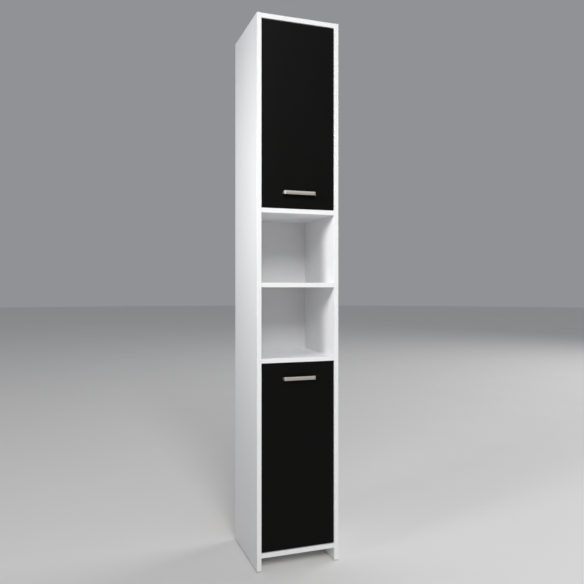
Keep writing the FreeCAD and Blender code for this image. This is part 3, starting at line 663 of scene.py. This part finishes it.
class HandleForm(bpy.types.PropertyGroup):
    """Shape of the bow handles, inside the size that the frame gives."""

    bar: length("Bar thickness", "Front to rear of the bar", 5.0)
    leg: length("Leg width", "Width of a leg at the bar", 7.0)
    foot: length("Foot size", "Side of a leg's foot on the door", 6.0)
    crown: length("Crown", "How far the front is rounded back at its long edges", 0.9)
    end_bend: length("End bend", "Radius of the bend from the bar to a leg, outside", 5.0)
    inner_bend: length("Inner bend", "Radius of that bend inside", 2.4)
    edge: length("Edge rounding", "Rounding of the long edges", 0.45)
    crown_rows: steps("Crown rows", "Strips across half of the bar's front", 2, 12, 5)
    taper_rows: steps("Taper rows", "Steps along a leg's taper", 2, 16, 7)
    end_rows: steps("End bend rows", "Flats round the outside of a bend", 2, 16, 8)
    inner_rows: steps("Inner bend rows", "Flats round the inside of a bend", 2, 16, 5)
    edge_rows: steps("Edge rows", "Flats round a long edge", 1, 8, 3)


class FastenerForm(bpy.types.PropertyGroup):
    """Shape of the screws, cams, nails and glides."""

    recess_width: length("Recess width", "Width of a cross recess's arms", 0.9)
    recess_share: fraction("Recess length", "Length of the arms, as a share of the head", 0.62)
    recess_depth: length("Recess depth", "Depth of a cross recess", 1.0)
    recess_taper: fraction("Recess taper", "Size of its floor, as a share of its top", 0.55)
    dome_share: fraction("Screw dome", "Domed part of a screw head's height", 0.55)
    dome_rows: steps("Dome rows", "Flats from a head's side to its top", 1, 8, 4)
    tip_width: fraction("Tip width", "Width of a tip's end, as a share of the shank", 0.35)
    sides: steps("Round steps", "Flats round a small turned piece", 12, 64, 28)
    cam_radius: length("Cam radius", "Radius of a cam", 7.5)
    cam_depth: length("Cam depth", "Depth of a cam", 12.45)
    cam_rim: length("Cam rim", "Rounding of a cam's rim", 0.5)
    cam_rim_rows: steps("Cam rim rows", "Flats round a cam's rim", 1, 8, 2)
    cam_recess: length("Cam recess", "Depth of a cam's driver recess", 1.8)
    cam_recess_width: length("Cam recess width", "Width of its arms", 1.8)
    cam_recess_share: fraction("Cam recess length", "Length of its arms, as a share of a cam", 0.6)
    cam_throat: length("Cam throat", "Radius of the opening for the bolt's head", 3.75)
    cam_throat_depth: length("Throat depth", "Cam's face to the bolt's axis", 8.0)


class StageSet(bpy.types.PropertyGroup):
    """Floor, lights and camera."""

    floor_colour: tint("Floor", "Plain pale floor", "#ECEBE9")
    floor_size: length("Floor size", "Width of the round floor", 60000.0)
    floor_sides: steps("Floor steps", "Flats round the floor's far edge", 12, 256, 96)
    floor_cloud: length("Floor clouding", "Width of the floor's faint unevenness", 700.0)
    sky_colour: tint("Room light", "Colour of the even light from all round", "#E2E4E9")
    sky_power: FloatProperty(name="Room light power", description="Strength of the even light",
                             min=0.0, default=0.37)
    key_power: watts("Key light power", "Soft light at the upper left", 4.2)
    front_power: watts("Front light power", "Large soft light in front", 275.0)
    side_power: watts("Side light power", "Soft light that fills the right side", 230.0)
    camera_place: FloatVectorProperty(
        name="Camera", description="Where the photograph was taken from", subtype="TRANSLATION",
        unit="LENGTH", size=3, default=(-0.7319, -2.1639, 0.9684))
    camera_turn: FloatProperty(
        name="Camera turn", description="How far the camera looks to the right", subtype="ANGLE",
        unit="ROTATION", default=math.radians(19.273))
    camera_lens: FloatProperty(name="Focal length", description="On a sensor 36 mm wide",
                               min=1.0, default=38.27)
    camera_rise: FloatProperty(name="Rising front", description="Upward shift of the picture",
                               default=-0.0087)


SETTINGS = {
    "cabinet_boards": BoardFinish,
    "cabinet_metals": MetalFinish,
    "cabinet_plastics": PlasticFinish,
    "cabinet_handles": HandleForm,
    "cabinet_fasteners": FastenerForm,
    "cabinet_stage": StageSet,
}


# ---------------------------------------------------------------- pieces

class CABINET_OT_carcass_boards(bpy.types.Operator):
    """Finish the sides, the fixed panels and the loose shelves in white melamine"""

    bl_idname = "cabinet.carcass_boards"
    bl_label = "Carcass boards"

    def execute(self, context):
        boards = context.scene.cabinet_boards
        looks = (boards.white, boards.white_band, WHITE_SHINE, WHITE_REFLECTION)
        level = faced_board("White melamine board", boards, "Z", (("Y", -1),), *looks)
        upright = faced_board("White melamine side", boards, "X", (("Y", -1), ("Z", 1)), *looks)
        dress(FIXED_PANELS + LOOSE_SHELVES, level)
        dress(SIDE_PANELS, upright)
        return {"FINISHED"}


class CABINET_OT_back_board(bpy.types.Operator):
    """Finish the thin back board, lacquered in front and bare behind"""

    bl_idname = "cabinet.back_board"
    bl_label = "Back board"

    def execute(self, context):
        dress(("back_panel",), lacquered_hardboard(context.scene.cabinet_boards))
        return {"FINISHED"}


class CABINET_OT_doors(bpy.types.Operator):
    """Finish the doors in black melamine with black edges"""

    bl_idname = "cabinet.doors"
    bl_label = "Doors"

    def execute(self, context):
        boards = context.scene.cabinet_boards
        edges = (("X", -1), ("X", 1), ("Z", -1), ("Z", 1))
        material = faced_board("Black melamine door", boards, "Y", edges, boards.black,
                               boards.black_band, BLACK_SHINE, BLACK_REFLECTION)
        dress([door + "_door" for door in DOORS], material)
        return {"FINISHED"}


def bow_handle(name, node, form):
    """A bow handle: a crowned bar that bends back at its ends into two tapering legs."""
    low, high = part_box(node)
    middle = (low + high) / 2.0
    half_length = (high.x - low.x) / 2.0
    half_height = (high.z - low.z) / 2.0
    bar_rear = low.y + form.bar
    leg_inside = half_length - form.leg
    piece = start_box(name, low, Vector((high.x, bar_rear, high.z)))

    for side in (-1.0, 1.0):
        split_at((middle.x + side * leg_inside, 0.0, 0.0), (1.0, 0.0, 0.0))
    rows = [i / form.crown_rows for i in range(form.crown_rows + 1)]
    for share in rows[1:-1]:
        for side in (-1.0, 1.0):
            split_at((0.0, 0.0, middle.z + side * share * half_height), (0.0, 0.0, 1.0))
    split_at((0.0, 0.0, middle.z), (0.0, 0.0, 1.0))

    # the front is round in section: every row lies as far back as its place on the curve
    for share in rows[1:]:
        choose(piece, "verts", lambda v: v.co.y < low.y + TINY
               and abs(abs(v.co.z - middle.z) - share * half_height) < TINY)
        bpy.ops.transform.translate(value=(0.0, form.crown * share ** 2, 0.0))

    straight = form.inner_bend + form.edge
    taper = high.y - bar_rear - straight
    for side in (-1.0, 1.0):
        centre_x = middle.x + side * (half_length - form.leg / 2.0)
        choose(piece, "faces", lambda f: f.normal.y > FACES
               and side * (f.calc_center_median().x - middle.x) > leg_inside)
        push((0.0, straight, 0.0))
        width, height = form.leg, 2.0 * half_height
        for row in range(1, form.taper_rows + 1):
            step = row / form.taper_rows
            eased = 1.0 - (1.0 - step) ** 2
            next_width = form.leg + (form.foot - form.leg) * eased
            next_height = 2.0 * half_height + (form.foot - 2.0 * half_height) * eased
            push((0.0, taper / form.taper_rows, 0.0))
            bpy.ops.transform.resize(value=(next_width / width, 1.0, next_height / height),
                                     center_override=(centre_x, 0.0, middle.z))
            width, height = next_width, next_height

    def upright_at(edge, x, y_low, y_high):
        return all(abs(abs(v.co.x - middle.x) - x) < TINY and y_low < v.co.y < y_high
                   for v in edge.verts) and abs(edge.verts[0].co.z - edge.verts[1].co.z) > TINY

    crown_end = low.y + form.crown + TINY
    choose(piece, "edges", lambda e: upright_at(e, half_length, low.y - TINY, crown_end))
    bpy.ops.mesh.bevel(offset=form.end_bend, segments=form.end_rows, clamp_overlap=False)
    choose(piece, "edges", lambda e: upright_at(e, leg_inside, bar_rear - TINY, bar_rear + TINY))
    bpy.ops.mesh.bevel(offset=form.inner_bend, segments=form.inner_rows, clamp_overlap=False)
    choose(piece, "edges", lambda e: len(e.link_faces) == 2 and e.calc_face_angle() > CORNER_ANGLE
           and min(v.co.y for v in e.verts) < high.y - TINY)
    bpy.ops.mesh.bevel(offset=form.edge, segments=form.edge_rows, clamp_overlap=True)
    close_edit(piece)
    return piece


class CABINET_OT_handles(bpy.types.Operator):
    """Model the two bow handles and brush their nickel plating"""

    bl_idname = "cabinet.handles"
    bl_label = "Handles"

    def execute(self, context):
        material = brushed_nickel(context.scene.cabinet_metals)
        for door in DOORS:
            node = door + "_handle"
            piece = bow_handle(door + "_bow_handle", node, context.scene.cabinet_handles)
            hand_over(piece, door + "_door_body", material, node)
        return {"FINISHED"}


def cross_cutter(span, width, top, depth, taper):
    """Two crossed bars that taper downwards to a share of their size, to cut a recess."""
    bars = []
    for long_x, long_y in ((span, width), (width, span)):
        half = Vector((long_x / 2.0, long_y / 2.0, 0.0))
        bar = start_box("recess_bar", -half + Vector((0.0, 0.0, top - depth)),
                        half + Vector((0.0, 0.0, top + depth)))
        choose(bar, "faces", lambda f: f.normal.z < -FACES)
        bpy.ops.transform.resize(value=(taper, taper, 1.0),
                                 center_override=(0.0, 0.0, top - depth))
        bpy.ops.object.mode_set(mode="OBJECT")
        bars.append(bar)
    first, second = bars
    combine(first, second, "UNION")
    return first


TIP_LENGTH = 1.5  # of a pin's tip, in shank radii
THROAT_REACH = 1.2  # of the cutter for a cam's throat, in cam radii

# head radius and height, shank radius and length, and how far the head's rim is rounded
NAIL = (2.4 * MM, 0.8 * MM, 0.9 * MM, 17.0 * MM)
NAIL_DOME = 0.35 * MM
GLIDE = (7.0 * MM, 3.0 * MM, 1.5 * MM, 12.0 * MM)
GLIDE_DOME = 1.0 * MM


def headed_pin(name, form, sizes, dome):
    """A turned pin along Z: its head sits above zero and its shank goes down from zero."""
    head_radius, head_height, shank_radius, shank_length = sizes
    piece = start_drum(name, head_radius, 0.0, head_height, form.sides)
    choose(piece, "edges", lambda e: all(v.co.z > head_height - TINY for v in e.verts))
    bpy.ops.mesh.bevel(offset=dome, segments=form.dome_rows)
    choose(piece, "faces", lambda f: f.normal.z < -FACES)
    bpy.ops.mesh.inset(thickness=head_radius - shank_radius)
    tip = TIP_LENGTH * shank_radius
    push((0.0, 0.0, -(shank_length - tip)))
    push((0.0, 0.0, -tip))
    bpy.ops.transform.resize(value=(form.tip_width, form.tip_width, 1.0),
                             center_override=(0.0, 0.0, -shank_length))
    close_edit(piece)
    return piece


# groups of screws: node ending, way the head points, head radius and height, shank radius
# and length, in mm
DOOR_SCREWS = (
    ("handle_screws", (0, 1, 0), 4.0, 2.4, 2.0, 25.0),
    ("cup_screws", (0, 1, 0), 3.4, 1.4, 1.7, 10.2),
)
SIDE_SCREWS = (
    ("plate_screws", (-1, 0, 0), 3.8, 1.4, 2.0, 13.4),
    ("adjusting_screws", (-1, 0, 0), 3.9, 1.4, 2.5, 8.0),
)
BRACKET_SCREW = ((0, 0, -1), 3.6, 1.8, 1.8, 13.95)


def screws(node, body, material, form, sizes):
    """Model one cross-recessed screw of a node and set it wherever the node has one."""
    direction, *lengths = sizes
    head_radius, head_height, *shank = (size * MM for size in lengths)
    master = headed_pin(node + "_master", form, (head_radius, head_height, *shank),
                        form.dome_share * head_height)
    combine(master, cross_cutter(2.0 * head_radius * form.recess_share, form.recess_width,
                                 head_height, form.recess_depth, form.recess_taper), "DIFFERENCE")
    smooth(master)
    group = repeat(master, node + "_turned", head_places(node, direction, head_height))
    hand_over(group, body, material, node)


class CABINET_OT_screws(bpy.types.Operator):
    """Model the cross-recessed screws of the handles, hinges and wall bracket"""

    bl_idname = "cabinet.screws"
    bl_label = "Screws"

    def execute(self, context):
        form = context.scene.cabinet_fasteners
        nickel = nickel_plated_steel(context.scene.cabinet_metals)
        zinc = zinc_plated_steel(context.scene.cabinet_metals)
        for door in DOORS:
            for body, kinds in ((door + "_door_body", DOOR_SCREWS), ("cabinet", SIDE_SCREWS)):
                for ending, *sizes in kinds:
                    node = door + "_" + ending
                    screws(node, body, nickel, form, sizes)
        screws("bracket_screws", "cabinet", zinc, form, BRACKET_SCREW)
        return {"FINISHED"}


def cam_lock(form):
    """One cam: a drum with a rounded rim, a driver's recess and a throat for the bolt's head."""
    piece = start_drum("cam_master", form.cam_radius, -form.cam_depth, 0.0, form.sides)
    choose(piece, "edges", lambda e: all(v.co.z > -TINY for v in e.verts))
    bpy.ops.mesh.bevel(offset=form.cam_rim, segments=form.cam_rim_rows)
    close_edit(piece)
    recess = cross_cutter(2.0 * form.cam_radius * form.cam_recess_share, form.cam_recess_width,
                          0.0, form.cam_recess, form.recess_taper)
    combine(piece, recess, "DIFFERENCE")
    bpy.ops.mesh.primitive_cylinder_add(
        vertices=form.sides, radius=form.cam_throat, depth=THROAT_REACH * form.cam_radius,
        location=(form.cam_radius / 2.0, 0.0, -form.cam_throat_depth),
        rotation=(0.0, math.radians(90.0), 0.0))
    combine(piece, bpy.context.object, "DIFFERENCE")
    smooth(piece)
    return piece


def cam_places():
    """Where every cam sits: its face's middle, with its throat towards the side panel."""
    tops = [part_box(panel)[1].z for panel in FIXED_PANELS]
    places = []
    for low, high in solids_of("cam_locks"):
        centre = (low + high) / 2.0
        faces_up = min(abs(high.z - top) for top in tops) < TINY
        face_z = high.z if faces_up else low.z
        flip = Matrix.Identity(4) if faces_up else Matrix.Rotation(math.pi, 4, "X")
        turn = Matrix.Identity(4) if centre.x > 0 else Matrix.Rotation(math.pi, 4, "Z")
        places.append(Matrix.Translation((centre.x, centre.y, face_z)) @ turn @ flip)
    return places


class CABINET_OT_cams(bpy.types.Operator):
    """Model the drum cams that draw the panels to the sides"""

    bl_idname = "cabinet.cams"
    bl_label = "Cams"

    def execute(self, context):
        group = repeat(cam_lock(context.scene.cabinet_fasteners), "cam_drums", cam_places())
        metal = cast_zinc(context.scene.cabinet_metals)
        hand_over(group, "cabinet", metal, "cam_locks")
        return {"FINISHED"}


class CABINET_OT_bolts_and_nails(bpy.types.Operator):
    """Finish the cam bolts, the bracket and the dowels, and model the nails of the back"""

    bl_idname = "cabinet.bolts_and_nails"
    bl_label = "Bolts, dowels and nails"

    def execute(self, context):
        form = context.scene.cabinet_fasteners
        zinc = zinc_plated_steel(context.scene.cabinet_metals)
        dress(("cam_bolts", "anti_tip_bracket"), zinc)
        dress(("wood_dowels",), beech_wood(context.scene.cabinet_boards))
        master = headed_pin("nail_master", form, NAIL, NAIL_DOME)
        places = head_places("back_panel_nails", (0, 1, 0), NAIL[1])
        group = repeat(master, "back_nails", places)
        hand_over(group, "cabinet", zinc, "back_panel_nails")
        return {"FINISHED"}


class CABINET_OT_hinges(bpy.types.Operator):
    """Finish the cups, links, pins, arms and plates of the concealed hinges"""

    bl_idname = "cabinet.hinges"
    bl_label = "Hinges"

    def execute(self, context):
        nickel = nickel_plated_steel(context.scene.cabinet_metals)
        zinc = cast_zinc(context.scene.cabinet_metals)
        for door in DOORS:
            pressed = ("hinge_cups", "cup_pins", "outer_links", "outer_link_pins",
                       "inner_links", "inner_link_pins", "hinge_arms")
            dress([door + "_" + ending for ending in pressed], nickel)
            dress([door + "_mounting_plates"], zinc)
        return {"FINISHED"}


class CABINET_OT_plastics(bpy.types.Operator):
    """Finish the shelf supports and door stops, and model the floor glides"""

    bl_idname = "cabinet.plastics"
    bl_label = "Supports, stops and glides"

    def execute(self, context):
        plastics = context.scene.cabinet_plastics
        form = context.scene.cabinet_fasteners
        # natural polypropylene: milky, a little light passes through its skin
        natural = moulded_plastic("Natural polypropylene", plastics, plastics.clear,
                                  NATURAL_ROUGHNESS, NATURAL_MILKINESS)
        # polyethylene: soft and waxy, so its highlights are wide
        waxy = moulded_plastic("Dark polyethylene", plastics, plastics.dark, WAXY_ROUGHNESS, 0.0)
        dress([door + "_shelf_supports" for door in DOORS] + ["door_stops"], natural)
        master = headed_pin("glide_master", form, GLIDE, GLIDE_DOME)
        places = head_places("floor_glides", (0, 0, -1), GLIDE[1])
        group = repeat(master, "nail_in_glides", places)
        hand_over(group, "cabinet", waxy, "floor_glides")
        return {"FINISHED"}


# ---------------------------------------------------------------- stage

# the soft lights: name, place, the point it looks at, side in metres, width of the beam in degrees
LIGHTS = (
    ("key", (-2.0, -0.85, 1.7), (-0.15, -0.42, 1.35), 0.5, 58.0),
    ("front", (-1.0, -6.0, 5.0), (0.0, 0.0, 0.9), 2.5, 180.0),
    ("side", (7.5, 2.0, 5.0), (0.1, 0.1, 0.9), 4.0, 180.0),
)
SENSOR_WIDTH = 36.0


def soft_light(name, place, aim, side, spread, power):
    """A square studio light that looks at a point and isn't seen itself."""
    bpy.ops.object.light_add(type="AREA", location=place)
    lamp = bpy.context.object
    lamp.name = name
    lamp.rotation_euler = (Vector(aim) - Vector(place)).to_track_quat("-Z", "Y").to_euler()
    lamp.data.shape = "SQUARE"
    lamp.data.size = side
    lamp.data.spread = math.radians(spread)
    lamp.data.energy = power
    lamp.visible_camera = False


class CABINET_OT_stage(bpy.types.Operator):
    """Lay the floor and set the lights and the photograph's camera"""

    bl_idname = "cabinet.stage"
    bl_label = "Stage"

    def execute(self, context):
        stage = context.scene.cabinet_stage
        bpy.ops.mesh.primitive_circle_add(
            vertices=stage.floor_sides, radius=stage.floor_size / 2.0, fill_type="NGON")
        floor = context.object
        floor.name = "studio_floor"
        floor.data.materials.append(pale_floor(stage))

        world = bpy.data.worlds.new("Even room light")
        world.use_nodes = True
        sky = world.node_tree.nodes["Background"]
        sky.inputs["Color"].default_value = opaque(stage.sky_colour)
        sky.inputs["Strength"].default_value = stage.sky_power
        context.scene.world = world
        context.scene.view_settings.view_transform = "Standard"

        for name, *light in LIGHTS:
            soft_light(name + "_light", *light, getattr(stage, name + "_power"))

        bpy.ops.object.camera_add(location=stage.camera_place,
                                  rotation=(math.radians(90.0), 0.0, -stage.camera_turn))
        camera = context.object
        camera.name = "photo_camera"
        camera.data.sensor_width = SENSOR_WIDTH
        camera.data.lens = stage.camera_lens
        camera.data.shift_y = stage.camera_rise
        camera.data.clip_start = 0.05
        camera.data.clip_end = 100.0
        context.scene.camera = camera
        return {"FINISHED"}


# ---------------------------------------------------------------- panel and registration

OPERATORS = (
    CABINET_OT_carcass_boards,
    CABINET_OT_back_board,
    CABINET_OT_doors,
    CABINET_OT_handles,
    CABINET_OT_screws,
    CABINET_OT_cams,
    CABINET_OT_bolts_and_nails,
    CABINET_OT_hinges,
    CABINET_OT_plastics,
    CABINET_OT_stage,
)


class CABINET_PT_pieces(bpy.types.Panel):
    """Settings and pieces of the cabinet"""

    bl_idname = "CABINET_PT_pieces"
    bl_label = "Tall Bathroom Cabinet"
    bl_space_type = "VIEW_3D"
    bl_region_type = "UI"
    bl_category = "Cabinet"

    def draw(self, context):
        for operator in OPERATORS:
            self.layout.operator(operator.bl_idname)
        for name, group in SETTINGS.items():
            box = self.layout.box()
            box.label(text=group.__doc__)
            for key in group.__annotations__:
                box.prop(getattr(context.scene, name), key)


def register():
    for group in SETTINGS.values():
        bpy.utils.register_class(group)
    for name, group in SETTINGS.items():
        setattr(bpy.types.Scene, name, PointerProperty(type=group))
    for operator in OPERATORS:
        bpy.utils.register_class(operator)
    bpy.utils.register_class(CABINET_PT_pieces)


def unregister():
    bpy.utils.unregister_class(CABINET_PT_pieces)
    for operator in reversed(OPERATORS):
        bpy.utils.unregister_class(operator)
    for name in SETTINGS:
        delattr(bpy.types.Scene, name)
    for group in reversed(SETTINGS.values()):
        bpy.utils.unregister_class(group)


def main():
    """Make every piece in order."""
    register()
    for operator in OPERATORS:
        family, name = operator.bl_idname.split(".")
        getattr(getattr(bpy.ops, family), name)()


if __name__ == "__main__":
    main()
